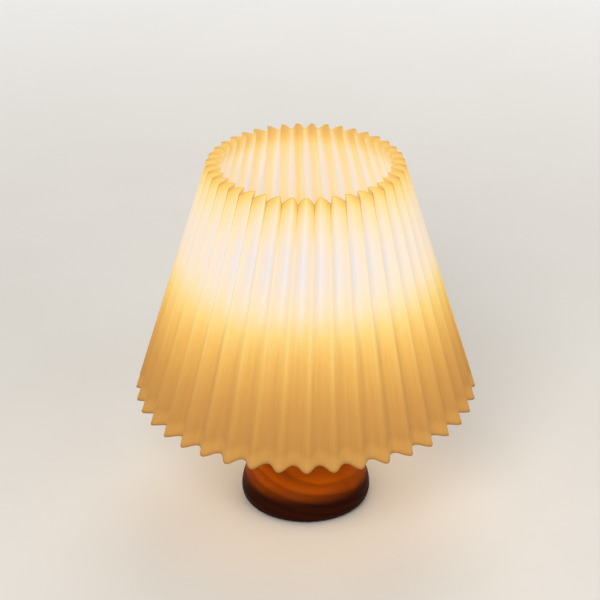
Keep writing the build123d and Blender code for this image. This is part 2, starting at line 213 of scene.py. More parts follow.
class Tree:
    """A node tree under construction, with short calls for its nodes."""

    def __init__(self, tree: bpy.types.NodeTree) -> None:
        """Keeps the tree that the nodes go into."""
        self.tree = tree

    def place(self, kind: str, values: dict[str | int, Value] | None = None,
              **settings: object) -> bpy.types.Node:
        """Adds one node.

        Args:
            kind: The node's type name.
            values: Its inputs by name or number: a wire is linked, anything else is set.
            settings: The node's own properties.

        Returns:
            The new node.
        """
        node = self.tree.nodes.new(kind)
        for name, setting in settings.items():
            setattr(node, name, setting)
        for name, value in (values or {}).items():
            self.feed(node.inputs[name], value)
        return node

    def get(self, kind: str, values: dict[str | int, Value] | None = None, output: int | str = 0,
            **settings: object) -> Wire:
        """Adds one node as place does, and returns one of its outputs."""
        return Wire(self, self.place(kind, values, **settings).outputs[output])

    def feed(self, socket: bpy.types.NodeSocket, value: Value) -> None:
        """Links a socket to a wire or sets its value. A colour may come without its alpha.

        Args:
            socket: The input.
            value: What it gets.
        """
        if isinstance(value, Wire):
            self.tree.links.new(value.socket, socket)
        elif socket.type == "RGBA":
            socket.default_value = (*value[:3], 1.0)
        else:
            socket.default_value = value

    def math(self, operation: str, *values: Value) -> Wire:
        """Adds a sum of one or more numbers."""
        return self.get("ShaderNodeMath", dict(enumerate(values)), operation=operation)

    def vector(self, operation: str, *values: Value) -> Wire:
        """Adds a sum of one or more vectors."""
        return self.get("ShaderNodeVectorMath", dict(enumerate(values)), operation=operation)

    def total(self, operation: str, first: Value, second: Value) -> Wire:
        """Adds a sum of two vectors where one of them is a vector, or else of two numbers."""
        sums = self.vector if is_vector(first) or is_vector(second) else self.math
        return sums(operation, first, second)

    def xyz(self, x: Value = 0.0, y: Value = 0.0, z: Value = 0.0) -> Wire:
        """Adds a vector made of three numbers."""
        return self.get("ShaderNodeCombineXYZ", {0: x, 1: y, 2: z})

    def point(self) -> Wire:
        """Adds the object coordinates of a material."""
        return self.get("ShaderNodeTexCoord", output="Object")

    def wires(self, node: bpy.types.Node) -> dict[str, Wire]:
        """Gives a node's outputs by name."""
        return {socket.name: Wire(self, socket) for socket in node.outputs}

    def call(self, group: "Group", values: dict[str, Value]) -> dict[str, Wire]:
        """Adds a node group with its own values and returns its outputs by name."""
        return self.wires(self.place(group.kind.value[1], values, node_tree=group.tree))


class Group(Tree):
    """A node group with named inputs and outputs."""

    NUMBERS = {int: "NodeSocketInt", float: "NodeSocketFloat"}
    OTHERS = {"Around": "NodeSocketVector", "Point": "NodeSocketVector", "Mesh": "NodeSocketGeometry",
              "Material": "NodeSocketMaterial"}

    def __init__(self, name: str, kind: Kind, inputs: dict[str, float | int | None],
                 outputs: Sequence[str]) -> None:
        """Makes the group and its sockets.

        Args:
            name: The group's name.
            kind: What the group makes.
            inputs: Each input's default number by name, or None for one of the other kinds.
            outputs: The outputs' names.
        """
        super().__init__(bpy.data.node_groups.new(name, kind.value[0]))
        self.kind = kind
        sockets = self.tree.interface
        for label, value in inputs.items():
            socket_type = self.OTHERS.get(label) or self.NUMBERS[type(value)]
            socket = sockets.new_socket(label, in_out="INPUT", socket_type=socket_type)
            if value is not None:
                socket.default_value = value
        for label in outputs:
            sockets.new_socket(label, in_out="OUTPUT", socket_type=self.OTHERS.get(label, "NodeSocketFloat"))
        self.given = self.wires(self.place("NodeGroupInput"))
        self.result = self.place("NodeGroupOutput").inputs

    def finish(self, **results: Wire) -> "Group":
        """Links the group's outputs.

        Args:
            results: The outputs by name, with _ for a space.

        Returns:
            The group.
        """
        for name, wire in results.items():
            self.feed(self.result[name.replace("_", " ")], wire)
        return self

    def finish_mesh(self, mesh: Wire) -> "Group":
        """Ends a shape: smooth, with real instances and with the group's Material.

        Args:
            mesh: The shape so far.

        Returns:
            The group.
        """
        mesh = self.get("GeometryNodeSetShadeSmooth", {"Geometry": mesh, "Shade Smooth": True})
        mesh = self.get("GeometryNodeRealizeInstances", {"Geometry": mesh})
        mesh = self.get("GeometryNodeSetMaterial", {"Geometry": mesh, "Material": self.given["Material"]})
        return self.finish(Mesh=mesh)

    def moved(self, shape: Wire, place: Wire, socket: str = "Position") -> Wire:
        """Puts a shape's points at a place, or moves them by it where the socket is Offset."""
        return self.get("GeometryNodeSetPosition", {"Geometry": shape, socket: place})

    def swept(self, line: Wire, sides: Value, radius: Value, scale: Value = 1.0) -> Wire:
        """Gives a curve a round section.

        Args:
            line: The curve.
            sides: How many sides the section has.
            radius: Its radius.
            scale: The share of that radius, along the curve.

        Returns:
            The closed mesh.
        """
        profile = self.get("GeometryNodeCurvePrimitiveCircle", {"Resolution": sides, "Radius": radius},
                           mode="RADIUS")
        return self.get("GeometryNodeCurveToMesh", {
            "Curve": line, "Profile Curve": profile, "Fill Caps": True, "Scale": scale})

    def chance(self, low: Value, high: Value, seed: Value, **which: Wire) -> Wire:
        """Draws a random number for each element, or for each value of ID where that is given."""
        values = {2: low, 3: high, "Seed": seed, **which}
        return self.get("FunctionNodeRandomValue", values, 1, data_type="FLOAT")


def sizes_of(piece: object, *chosen: str) -> dict[str, float | int]:
    """Gives a dataclass's sizes, or the chosen ones, as inputs of its tree, such as Low Tip for low_tip."""
    names = chosen or [field.name for field in fields(piece)]
    return {name.replace("_", " ").title(): getattr(piece, name) for name in names}


def grown(name: str, body: str, worn: Worn, group: Group, values: dict[str, Value],
          replaced: str | None = None) -> bpy.types.Object:
    """Makes a finished piece out of a geometry node group, as a plain mesh at the origin.

    Args:
        name: The piece's name.
        body: The body that it rides on.
        worn: Its slot's name and its material.
        group: The group, whose output is the mesh.
        values: The group's inputs by name.
        replaced: The CAD node that it takes the place of.

    Returns:
        The piece, without a modifier.
    """
    slot, material = worn
    holder = bpy.data.objects.new(name, bpy.data.meshes.new(name))
    bpy.context.scene.collection.objects.link(holder)
    modifier = holder.modifiers.new("shape", "NODES")
    modifier.node_group = group.tree
    values = {**values, "Material": material}
    for item in group.tree.interface.items_tree:
        if item.in_out == "INPUT" and item.name in values:
            modifier[item.identifier] = values[item.name]
    graph = bpy.context.evaluated_depsgraph_get()
    mesh = bpy.data.meshes.new_from_object(holder.evaluated_get(graph), depsgraph=graph)
    holder.modifiers.clear()
    holder.data = mesh
    mesh.name = name
    mesh.materials.clear()
    mesh.materials.append(material)
    mesh.polygons.foreach_set("material_index", [0] * len(mesh.polygons))
    if replaced:
        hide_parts(replaced)
    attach(holder, body)
    return holder


# ---------------------------------------------------------------- patterns of the finishes


class Pattern(Enum):
    """The small-scale pattern of a surface, by the name of its shader group."""

    TURNED = "turned_rings"
    MOULDED = "moulded_texture"
    POWDER = "powder_coat"
    CRYSTAL = "plated_crystals"
    FELTED = "felted_fibres"


class Surfaces:
    """The shader node groups that the finishes share, each built once."""

    def __init__(self) -> None:
        """Builds every pattern, with the factor and the start that make its mask."""
        makers = {
            Pattern.TURNED: (self.turned, 0.9, 0.5),
            Pattern.MOULDED: (self.moulded, 0.8, -0.3),
            Pattern.POWDER: (self.powder, 1.6, -0.3),
            Pattern.CRYSTAL: (self.crystal, 0.7, -0.2),
            Pattern.FELTED: (self.felted, 2.4, -0.9),
        }
        self.patterns = {}
        for pattern, (maker, factor, start) in makers.items():
            group = Group(pattern.value, Kind.LOOK, {"Scale": 1000.0}, ("Mask", "Height"))
            cloud, height = maker(group.point(), group.given["Scale"])
            self.patterns[pattern] = group.finish(Mask=(cloud * factor + start).clamped(), Height=height)
        self.grain = self.wood_grain()
        self.glow = PaperLight().group()

    @staticmethod
    def turned(point: Wire, scale: Wire) -> tuple[Wire, Wire]:
        """Makes the fine rings that a lathe or a rolling tool leaves round an upright axis.

        Args:
            point: The object coordinates.
            scale: The pattern's scale.

        Returns:
            What makes the mask, and the height.
        """
        x, y, z = point.parts()
        rings = point.tree.xyz((x * x + y * y).math("SQRT"), z).noise(scale, detail=3.0, rough=0.6)
        return rings - point.noise(90.0, detail=4.0), rings

    @staticmethod
    def moulded(point: Wire, scale: Wire) -> tuple[Wire, Wire]:
        """Makes the faint spark texture and the flow clouds of a moulded plastic."""
        fine = point.noise(scale, rough=0.7)
        return fine + point.noise(60.0, detail=3.0), fine

    @staticmethod
    def powder(point: Wire, scale: Wire) -> tuple[Wire, Wire]:
        """Makes the orange peel of a baked powder coat.

        Args:
            point: The object coordinates.
            scale: The pattern's scale.

        Returns:
            What makes the mask, and the height.
        """
        values = {"Vector": point, "Scale": scale, "Smoothness": 1.0}
        peel = point.tree.get("ShaderNodeTexVoronoi", values, "Distance", feature="SMOOTH_F1")
        return point.noise(45.0, detail=3.0), peel

    @staticmethod
    def crystal(point: Wire, scale: Wire) -> tuple[Wire, Wire]:
        """Makes the flat crystals and the small scratches of a plated or stamped metal.

        Args:
            point: The object coordinates.
            scale: The pattern's scale.

        Returns:
            What makes the mask, and the height.
        """
        cells = point.tree.get("ShaderNodeTexVoronoi", {"Vector": point, "Scale": scale}, "Color")
        scratches = (point * (1.0, 1.0, 9.0)).noise(900.0, detail=4.0, rough=0.7)
        return cells.parts()[0] + scratches, scratches

    @staticmethod
    def felted(point: Wire, scale: Wire) -> tuple[Wire, Wire]:
        """Makes matted fibres that cross each other.

        Args:
            point: The object coordinates.
            scale: The pattern's scale.

        Returns:
            What makes the mask, and the height.
        """
        bend = 4.0 * MM
        bent = point + point.noise(300.0, output="Color") * bend
        across, along = ((bent * stretch).noise(scale) for stretch in ((1.0, 7.0, 3.0), (7.0, 1.0, 3.0)))
        fibres = across.math("MAXIMUM", along)
        return fibres, fibres

    @staticmethod
    def wood_grain() -> Group:
        """Builds the year rings and the pores of a block that was turned across its log.

        Returns:
            The group.
        """
        slope = -9.0 * DEGREE
        log_depth, log_side, log_squash = 0.10, 0.012, 0.55
        ring_starts, ring_darkest, ring_ends = 0.15, 0.8, 1.0
        pore_edge = (0.56, 0.70)
        group = Group("wood_grain", Kind.LOOK, {"Ring Scale": 110.0, "Wander": 0.016}, ("Rings", "Pores"))
        sloped = group.point().turned(slope, "Y_AXIS")
        drift = (sloped * (0.3, 1.0, 1.0)).noise(30.0, detail=4.0, output="Color") - (0.5, 0.5, 0.5)
        _, y, z = (sloped + drift * group.given["Wander"]).parts()
        deep, far = z + log_depth, y * log_squash + log_side
        radius = (deep * deep + far * far).math("SQRT")
        phase = (radius * group.given["Ring Scale"]).math("FRACT")
        rings = phase.ease(ring_starts, ring_darkest) * phase.fade(ring_darkest, ring_ends)
        streaks = (sloped * (0.06, 1.0, 1.0)).noise(1900.0, rough=0.6)
        return group.finish(Rings=rings, Pores=streaks.ease(*pore_edge))


class PaperLight:
    """How lamplight comes through folded paper.

    Heights go from 0 at the lower rim to 1 at the upper one. Folds go from 0 at an outer fold to 1 at an
    inner one. The inset goes from 0 on the outside to 1 on the inside. A span is where a change starts
    and where it ends.
    """

    # Heights.
    LOW_PART: Span = (0.35, 0.6)
    MIDDLE_STARTS: Span = (0.22, 0.42)
    MIDDLE_ENDS: Span = (0.62, 0.8)
    OUTER_RIM, INNER_RIM, OUTER_LINE = 0.94, 0.87, 0.84
    HEM_STARTS: Span = (0.004, 0.018)
    HEM_ENDS: Span = (0.03, 0.075)
    LOWER_CUT: Span = (0.002, 0.006)
    UPPER_CUT: Span = (0.9945, 0.998)
    # Folds.
    CREST_ENDS: Span = (0.0, 0.08)
    LINE_ENDS: Span = (0.0, 0.13)
    BESIDE_STARTS: Span = (0.02, 0.07)
    BESIDE_ENDS: Span = (0.10, 0.18)
    INSIDE_FOLD: Span = (0.55, 0.96)
    # Where the painted shade at the inner folds grows.
    DULL_FOLD: Span = (0.74, 0.98)
    # Strengths at an outer and at an inner fold.
    INSIDE, DULL = (0.74, 0.97), (0.2, 0.55)
    # Strengths above the low part and in it.
    FOLD_GAIN, CREST_GAIN, LINES, CREASES = (0.18, 0.05), (-0.05, 0.03), (0.18, 0.55), (-0.035, -0.12)
    # Other strengths, and what the light loses.
    OUTSIDE, INNER_FALL, PULP, BESIDE_GAIN, HEM_GAIN = 0.82, 0.62, 0.07, 0.07, 0.07
    LINE_LOSS, RIM_EVENED = 0.42, 0.7
    # Powers, which shape a change.
    FOLD_POWER, RIM_POWER, RIM_FOLD_POWER = 1.3, 1.5, 1.8
    # The part of a cut edge's half circle that counts as cut.
    LIP: Span = (0.02, 0.14)

    @staticmethod
    def streaks() -> Group:
        """Builds the fine lines that run down folded paper, its dark creases and its cloudy pulp.

        Returns:
            The group.
        """
        group = Group("paper_streaks", Kind.LOOK, {"Around": None}, ("Lines", "Creases", "Pulp"))
        around = group.given["Around"]
        lines = (around * (1.0, 1.0, 0.04)).noise(95.0, detail=4.0, rough=0.65)
        crease_edge = (0.56, 0.72)
        creases = (around * (1.0, 1.0, 0.025)).noise(170.0).ease(*crease_edge)
        pulp = group.point().noise(160.0, detail=5.0, rough=0.62)
        return group.finish(Lines=lines, Creases=creases, Pulp=pulp)

    def group(self) -> Group:
        """Builds how bright the paper is, from 0 to 1, and where its cut edges and its painted shade at the
        inner folds are.

        Returns:
            The group.
        """
        group = Group("lamplight_in_paper", Kind.LOOK, {
            "Rise": 0.5, "Fold": 0.5, "Inset": 0.0, "Layers": 1.0, "Around": None, "Bright Rise": 0.74,
            "Spread": 2.1, "Fall": 1.5, "Rim Dark": 0.24, "Inner Rim Dark": 0.36},
            ("Glow", "Fibre", "Edge", "Dull", "Inner Rim"))
        given = group.given
        rise, fold, inset = given["Rise"], given["Fold"], given["Inset"]
        low, outer = rise.fade(*self.LOW_PART), 1.0 - inset

        # The light falls off above and below the bulb, and slower on the inside.
        away = (rise - given["Bright Rise"]) * given["Spread"]
        direct = 1.0 / (away * away + 1.0) ** (given["Fall"] * inset.mix(1.0, self.INNER_FALL))

        # It changes from fold to fold.
        outside = fold ** self.FOLD_POWER * low.mix(*self.FOLD_GAIN) + self.OUTSIDE
        folded = inset.mix(outside, fold.ease(*self.INSIDE_FOLD, *self.INSIDE))
        folded = folded + fold.fade(*self.CREST_ENDS) * outer * low.mix(*self.CREST_GAIN)
        middle = rise.ease(*self.MIDDLE_STARTS) * rise.fade(*self.MIDDLE_ENDS)
        beside = fold.ease(*self.BESIDE_STARTS) * fold.fade(*self.BESIDE_ENDS) * self.BESIDE_GAIN
        folded = folded + middle * beside

        # It fades at the upper rim, and the hem is a little lighter.
        rim = rise.ease(inset.mix(self.OUTER_RIM, self.INNER_RIM), 1.0) ** self.RIM_POWER
        rim = rim * (1.0 - fold ** self.RIM_FOLD_POWER * self.RIM_EVENED)
        line = fold.fade(*self.LINE_ENDS) * rise.ease(self.OUTER_LINE, 1.0) * outer * self.LINE_LOSS
        loss = rim * inset.mix(given["Rim Dark"], given["Inner Rim Dark"]) + line
        hem = rise.ease(*self.HEM_STARTS) * rise.fade(*self.HEM_ENDS) * self.HEM_GAIN

        # The fibres show more in the dim lower part.
        streaks = group.call(self.streaks(), {"Around": given["Around"]})
        fibre = (streaks["Lines"] - 0.5) * low.mix(*self.LINES) + (streaks["Pulp"] - 0.5) * self.PULP
        fibre = fibre + (streaks["Creases"] * low.mix(*self.CREASES) + 1.0)
        glow = (direct * folded * (1.0 - loss) + hem) * fibre / given["Layers"]

        lip = (inset * outer).ease(*self.LIP)
        cuts = rise.ease(*self.UPPER_CUT).math("MAXIMUM", rise.fade(*self.LOWER_CUT))
        # Painted shade: greyer streaks near the inner folds in the lower part.
        dull = low * fold.ease(*self.DULL_FOLD, *self.DULL) * (streaks["Lines"] * 1.4 - 0.1)
        return group.finish(Glow=glow, Fibre=fibre, Edge=lip.math("MAXIMUM", cuts), Dull=dull,
                            Inner_Rim=rim * inset)


# ---------------------------------------------------------------- finishes


class Skin(Tree):
    """A material under construction, with one Principled shader."""

    def __init__(self, name: str) -> None:
        """Makes the material with its shader and its output.

        Args:
            name: The material's name.
        """
        self.made = bpy.data.materials.new(name)
        self.made.use_nodes = True
        self.made.node_tree.nodes.clear()
        super().__init__(self.made.node_tree)
        self.shader = self.place("ShaderNodeBsdfPrincipled")
        self.surface = Wire(self, self.shader.outputs[0])
        self.output = self.place("ShaderNodeOutputMaterial", {"Surface": self.surface})

    def wear(self, values: dict[str, Value]) -> bpy.types.Material:
        """Feeds the shader.

        Args:
            values: Its inputs by name.

        Returns:
            The material.
        """
        for name, value in values.items():
            self.feed(self.shader.inputs[name], value)
        return self.made


@dataclass(frozen=True)
class Finish:
    """A hard finish: two tones, a roughness range and a pattern that moves between them."""

    name: str
    light: Colour          # The tone where the pattern is high,
    dark: Colour           # and where it is low.
    smooth: float          # The roughness where it is low,
    rough: float           # and where it is high.
    pattern: Pattern
    scale: float           # The pattern's waves in a metre.
    relief: float          # How deep it is.
    metallic: float = 0.0  # 1 for a bare metal.

    def material(self, surfaces: Surfaces) -> bpy.types.Material:
        """Builds the material.

        Args:
            surfaces: The shared patterns.

        Returns:
            The finished material.
        """
        skin = Skin(self.name)
        pattern = skin.call(surfaces.patterns[self.pattern], {"Scale": self.scale})
        mask = pattern["Mask"]
        return skin.wear({
            "Base Color": mask.mix(self.dark, self.light), "Roughness": mask.mix(self.smooth, self.rough),
            "Normal": pattern["Height"].bump(self.relief), "Metallic": self.metallic})


@dataclass(frozen=True)
class PaperFinish:
    """Stiff shade paper with the lamp lit behind it."""

    name: str
    own_share: float = 0.36                    # How much of the lit colour studio light gives.
    bright_rise: float = 0.74                  # The share of the height where the lamplight is brightest.
    rim_dark: float = 0.24                     # How much it fades at the outer folds of the upper rim.
    roughness: float = 0.8                     # The paper's roughness,
    fibre_roughness: float = 0.5               # and how much the fibres change it.
    relief: float = 0.12 * MM                  # How deep the fibres are.
    specular: float = 0.2                      # How strong the paper's mirror reflection is.
    # Painted lamplight and shade at the rims: the cut edges' lit tones, darkest at the lower one.
    rim_tip: Colour = shown(218, 164, 84)      # The upper cut edge at an outer fold,
    rim_valley: Colour = shown(244, 200, 108)  # and at an inner one.
    rim_folds: Span = (0.0, 0.6)               # Where, from fold to fold, that tone changes.
    rim_inside: Colour = shown(232, 190, 124)  # The inside just below the upper rim,
    rim_inside_share: float = 0.75             # and how much of that tone there is.
    hem_line: Colour = shown(164, 116, 58)     # The lower cut edge, in painted shade.
    between: Span = (0.4, 0.6)                 # The heights between the lower cut edge and the upper one.
    cut_share: float = 0.85                    # How much of its tone a cut edge shows.
    dull: Colour = shown(178, 134, 82)         # Painted shade: the greyer streaks near an inner fold in the lower part.

    #: The lit paper's tones from the weakest lamplight to the strongest.
    TONES = (
        (0.00, (142, 96, 46)),
        (0.18, (206, 149, 74)),
        (0.25, (218, 161, 80)),
        (0.34, (235, 180, 91)),
        (0.455, (251, 200, 106)),
        (0.60, (254, 220, 134)),
        (0.74, (254, 229, 184)),
        (0.815, (251, 231, 203)),
        (0.90, (246, 231, 216)),
        (1.00, (234, 231, 230)),
    )

    def material(self, surfaces: Surfaces) -> bpy.types.Material:
        """Builds the paper.

        Args:
            surfaces: The shared patterns.

        Returns:
            The finished material.
        """
        skin = Skin(self.name)
        read = {name: skin.get("ShaderNodeAttribute", output="Fac", attribute_name=name.lower())
                for name in ("Rise", "Fold", "Inset", "Layers")}
        around = skin.get("ShaderNodeAttribute", output="Vector", attribute_name="around")
        light = skin.call(surfaces.glow, {
            **read, "Around": around, "Bright Rise": self.bright_rise, "Rim Dark": self.rim_dark})
        # The painted shade turns the lit tone greyer near the inner folds.
        tone = light["Dull"].mix(self.tones(skin, light["Glow"]), self.dull)
        # Painted lamplight and shade at the rims: a paler tone inside below the upper rim, and the cut edges'
        # lit tones.
        tone = (light["Inner Rim"] * self.rim_inside_share).mix(tone, self.rim_inside)
        rim = read["Fold"].ease(*self.rim_folds).mix(self.rim_tip, self.rim_valley)
        line = read["Rise"].ease(*self.between).mix(self.hem_line, rim)
        paper = (light["Edge"] * self.cut_share).mix(tone, line)
        uneven = light["Fibre"] * self.fibre_roughness + (self.roughness - self.fibre_roughness)
        return skin.wear({
            "Base Color": paper * self.own_share, "Emission Color": paper,
            "Emission Strength": 1.0 - self.own_share, "Specular IOR Level": self.specular,
            "Roughness": uneven.clamped(), "Normal": light["Fibre"].bump(self.relief)})

    def tones(self, tree: Tree, glow: Wire) -> Wire:
        """Adds the ramp from weak to strong lamplight.

        Args:
            tree: The material's tree.
            glow: How strong the lamplight is.

        Returns:
            The ramp's colour.
        """
        node = tree.place("ShaderNodeValToRGB", {"Fac": glow})
        stops = node.color_ramp.elements
        while len(stops) < len(self.TONES):
            stops.new(0.5)
        for stop, (place, tone) in zip(stops, self.TONES):
            stop.position = place
            stop.color = (*shown(*tone), 1.0)
        return Wire(tree, node.outputs[0])


@dataclass(frozen=True)
class WoodFinish:
    """Reddish turned wood under a satin lacquer, warm where the lamp shines on its shoulder."""

    name: str
    early: Colour = shown(48, 17, 6)      # The wood's pale tone.
    late: Colour = shown(37, 12, 5)       # The tone of its year rings.
    pore: Colour = shown(22, 8, 5)        # The tone of its pores,
    pore_share: float = 0.5               # and how much of it there is.
    lamplit: Colour = shown(170, 72, 0)   # What the lamplight adds at its strongest.
    foot_height: float = 19.2 * MM        # The height where it starts.
    shoulder_height: float = 35.2 * MM    # The height where it is strongest.
    top_height: float = 44.0 * MM         # The height of the flat top,
    top_light: float = 0.7                # and what is left of it there.
    ring_light: Span = (-0.42, 1.05)      # How the year rings change it, as a factor and a start,
    pore_light: Span = (-0.18, 1.0)       # and how the pores do.
    ring_scale: float = 120.0             # How many year rings there are in a metre.
    cloud_scale: float = 45.0             # The waves of the clouds in its tone in a metre,
    cloud_stretch: Place = (0.5, 1.0, 1.0)  # and how they are stretched.
    cloud_rings: float = 1.4              # How strongly they change the year rings.
    cloud_span: Span = (0.3, 0.7)         # Where they start and stop to change the lamplight,
    cloud_light: Span = (0.7, 1.0)        # and what it is there.
    smooth: float = 0.42                  # The roughness of the pale tone,
    rough: float = 0.54                   # and of a year ring.
    relief: float = 0.03 * MM             # How deep the pores are.
    specular: float = 0.02                # How strong the lacquer's mirror reflection is.

    def material(self, surfaces: Surfaces) -> bpy.types.Material:
        """Builds the wood.

        Args:
            surfaces: The shared patterns.

        Returns:
            The finished material.
        """
        skin = Skin(self.name)
        grain = skin.call(surfaces.grain, {"Ring Scale": self.ring_scale})
        pores, place = grain["Pores"], skin.point()
        clouds = (place * self.cloud_stretch).noise(self.cloud_scale, detail=3.0)
        rings = (grain["Rings"] * (clouds * self.cloud_rings)).clamped()
        body = (pores * self.pore_share).mix(rings.mix(self.early, self.late), self.pore)
        height = place.parts()[2]
        lit = height.ease(self.foot_height, self.shoulder_height)
        lit = lit * height.ease(self.shoulder_height, self.top_height, 1.0, self.top_light)
        for wire, (factor, start) in ((rings, self.ring_light), (pores, self.pore_light)):
            lit = lit * (wire * factor + start)
        lit = lit * clouds.ease(*self.cloud_span, *self.cloud_light)
        return skin.wear({
            "Base Color": body, "Emission Color": lit.mix(BLACK, self.lamplit), "Emission Strength": 1.0,
            "Roughness": rings.mix(self.smooth, self.rough), "Normal": pores.bump(-self.relief),
            "Specular IOR Level": self.specular})


@dataclass(frozen=True)
class LitFinish:
    """A surface that shines by itself, such as the bulb's opal dome."""

    name: str
    body: Colour                # Its own tone.
    bright: Colour              # The light's tone at its top,
    dim: Colour                 # and at its foot.
    low: float                  # The height where the light starts to change,
    high: float                 # and where it is brightest.
    strength: float             # The light's strength.
    scale: float = 900.0        # The waves of its moulded texture in a metre.
    mottle: float = 0.12        # How much that texture shows in the light,
    spread: float = 0.9         # and how much the height does.
    smooth: float = 0.28        # The roughness where the texture is low,
    rough: float = 0.36         # and where it is high.
    relief: float = 0.004 * MM  # How deep the texture is.

    def material(self, surfaces: Surfaces) -> bpy.types.Material:
        """Builds the glowing material.

        Args:
            surfaces: The shared patterns.

        Returns:
            The finished material.
        """
        skin = Skin(self.name)
        texture = skin.call(surfaces.patterns[Pattern.MOULDED], {"Scale": self.scale})
        mask = texture["Mask"]
        share = skin.point().parts()[2].ease(self.low, self.high)
        mottled = (mask * self.mottle + share * self.spread).clamped()
        return skin.wear({
            "Base Color": mask.mix(self.body, WHITE), "Emission Color": mottled.mix(self.dim, self.bright),
            "Emission Strength": self.strength, "Roughness": mask.mix(self.smooth, self.rough),
            "Normal": texture["Height"].bump(self.relief)})


FINISHES = (
    Finish("felt", shown(52, 48, 44), shown(20, 18, 17), 0.92, 1.0, Pattern.FELTED, 1200.0, 0.25 * MM),
    Finish("satin_brass", shown(214, 172, 96), shown(176, 128, 60), 0.22, 0.36, Pattern.TURNED, 3800.0,
           0.010 * MM, metallic=1.0),
    Finish("contact_brass", shown(206, 170, 100), shown(170, 132, 70), 0.26, 0.42, Pattern.CRYSTAL, 900.0,
           0.010 * MM, metallic=1.0),
    Finish("zinc_steel", shown(202, 204, 208), shown(150, 153, 160), 0.28, 0.46, Pattern.CRYSTAL, 700.0,
           0.012 * MM, metallic=1.0),
    Finish("black_plastic", shown(34, 34, 36), shown(20, 20, 22), 0.32, 0.48, Pattern.MOULDED, 2600.0,
           0.02 * MM),
    Finish("white_ceramic", shown(236, 232, 222), shown(214, 208, 196), 0.45, 0.65, Pattern.MOULDED, 1800.0,
           0.03 * MM),
    Finish("white_painted_steel", shown(240, 238, 232), shown(222, 219, 210), 0.30, 0.42, Pattern.POWDER,
           1600.0, 0.02 * MM),
    Finish("solder", shown(190, 190, 192), shown(140, 140, 144), 0.30, 0.50, Pattern.CRYSTAL, 1500.0,
           0.02 * MM, metallic=1.0),
    Finish("black_glass", shown(16, 16, 20), shown(8, 8, 10), 0.06, 0.14, Pattern.MOULDED, 900.0, 0.004 * MM),
    Finish("nickel_cap", shown(214, 212, 206), shown(176, 174, 168), 0.20, 0.34, Pattern.TURNED, 3000.0,
           0.012 * MM, metallic=1.0),
    Finish("white_plastic", shown(240, 238, 232), shown(228, 225, 217), 0.28, 0.38, Pattern.MOULDED, 2400.0,
           0.012 * MM),
    Finish("board_aluminium", shown(236, 238, 240), shown(208, 210, 214), 0.30, 0.44, Pattern.CRYSTAL, 1100.0,
           0.008 * MM, metallic=0.4),
    PaperFinish("pleated_paper"),
    WoodFinish("turned_wood"),
    LitFinish("opal_dome", shown(246, 236, 216), shown(255, 242, 214), shown(250, 206, 140),
              214.0 * MM, 250.0 * MM, 0.9),
    LitFinish("chip_phosphor", shown(250, 214, 80), shown(255, 236, 170), shown(255, 206, 110),
              200.0 * MM, 240.0 * MM, 1.4),
)


# ---------------------------------------------------------------- the shade


